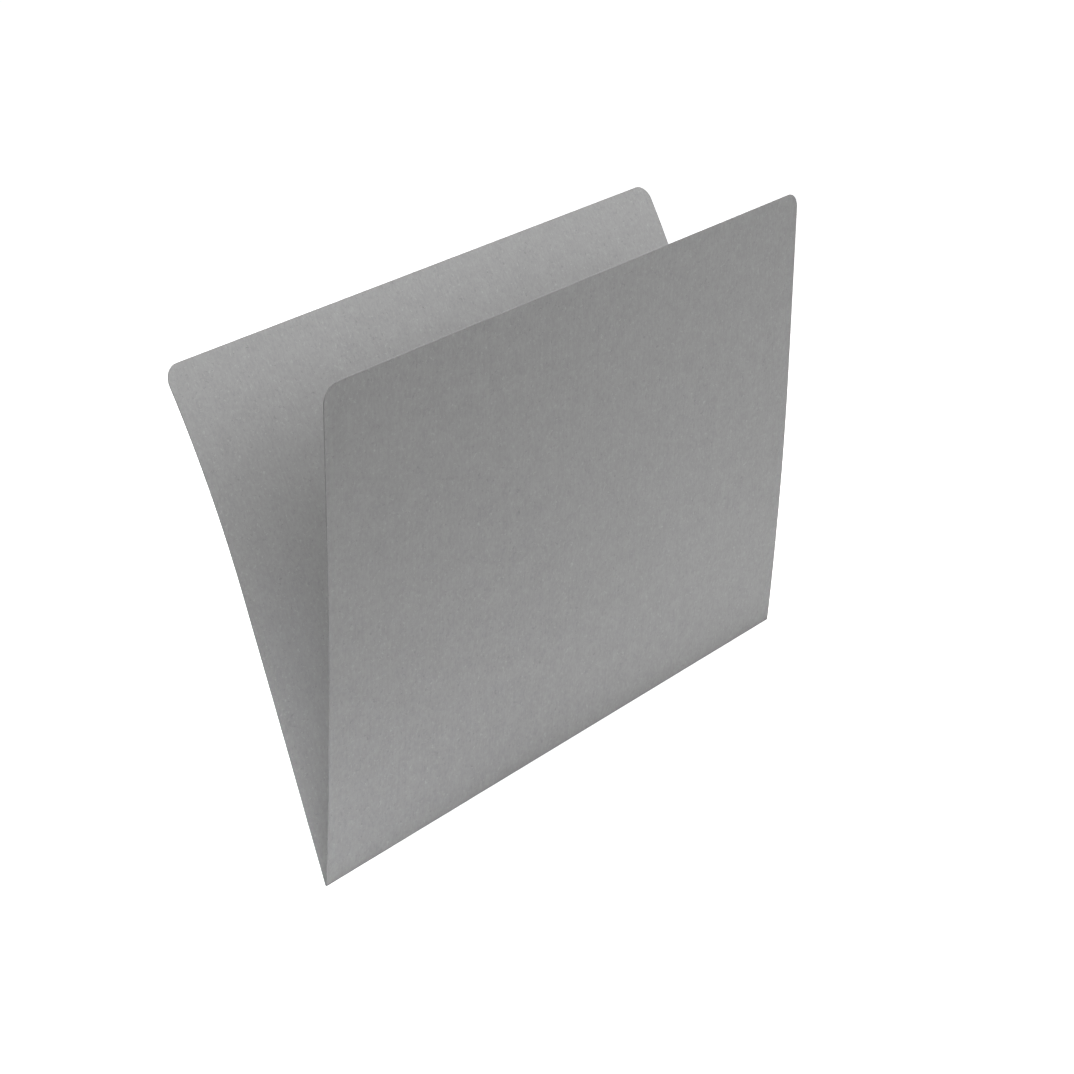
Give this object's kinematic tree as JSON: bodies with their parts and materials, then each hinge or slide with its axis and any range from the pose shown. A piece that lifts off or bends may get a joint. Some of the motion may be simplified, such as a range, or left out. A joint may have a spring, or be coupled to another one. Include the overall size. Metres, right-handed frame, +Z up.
{
  "type": "manila folder",
  "caption": "Square-cut file folder of plain grey manila board, half open on its fold: two leaves with rounded top corners that turn about a pressed crease to hold loose sheets.",
  "frame": {"origin": "middle of the fold, on its lowest line", "axes": "+X along the fold, -Y out of the front leaf, +Z up from the fold towards the open top"},
  "size_m": [0.349, 0.0948, 0.2403],
  "materials": {
    "manila_board": "uncoated board"
  },
  "bodies": {
    "crease": {"fold_crease": "manila_board"},
    "front": {"front_leaf": "manila_board"},
    "back": {"back_leaf": "manila_board"}
  },
  "joints": [
    {"name": "front_fold", "type": "hinge", "parent": "crease", "child": "front", "pos_m": [0, 0, 0.0004], "axis": [1, 0, 0], "range_deg": [-10.4, 85]},
    {"name": "back_fold", "type": "hinge", "parent": "crease", "child": "back", "pos_m": [0, 0, 0.0004], "axis": [-1, 0, 0], "range_deg": [-10.4, 68.4]}
  ]
}
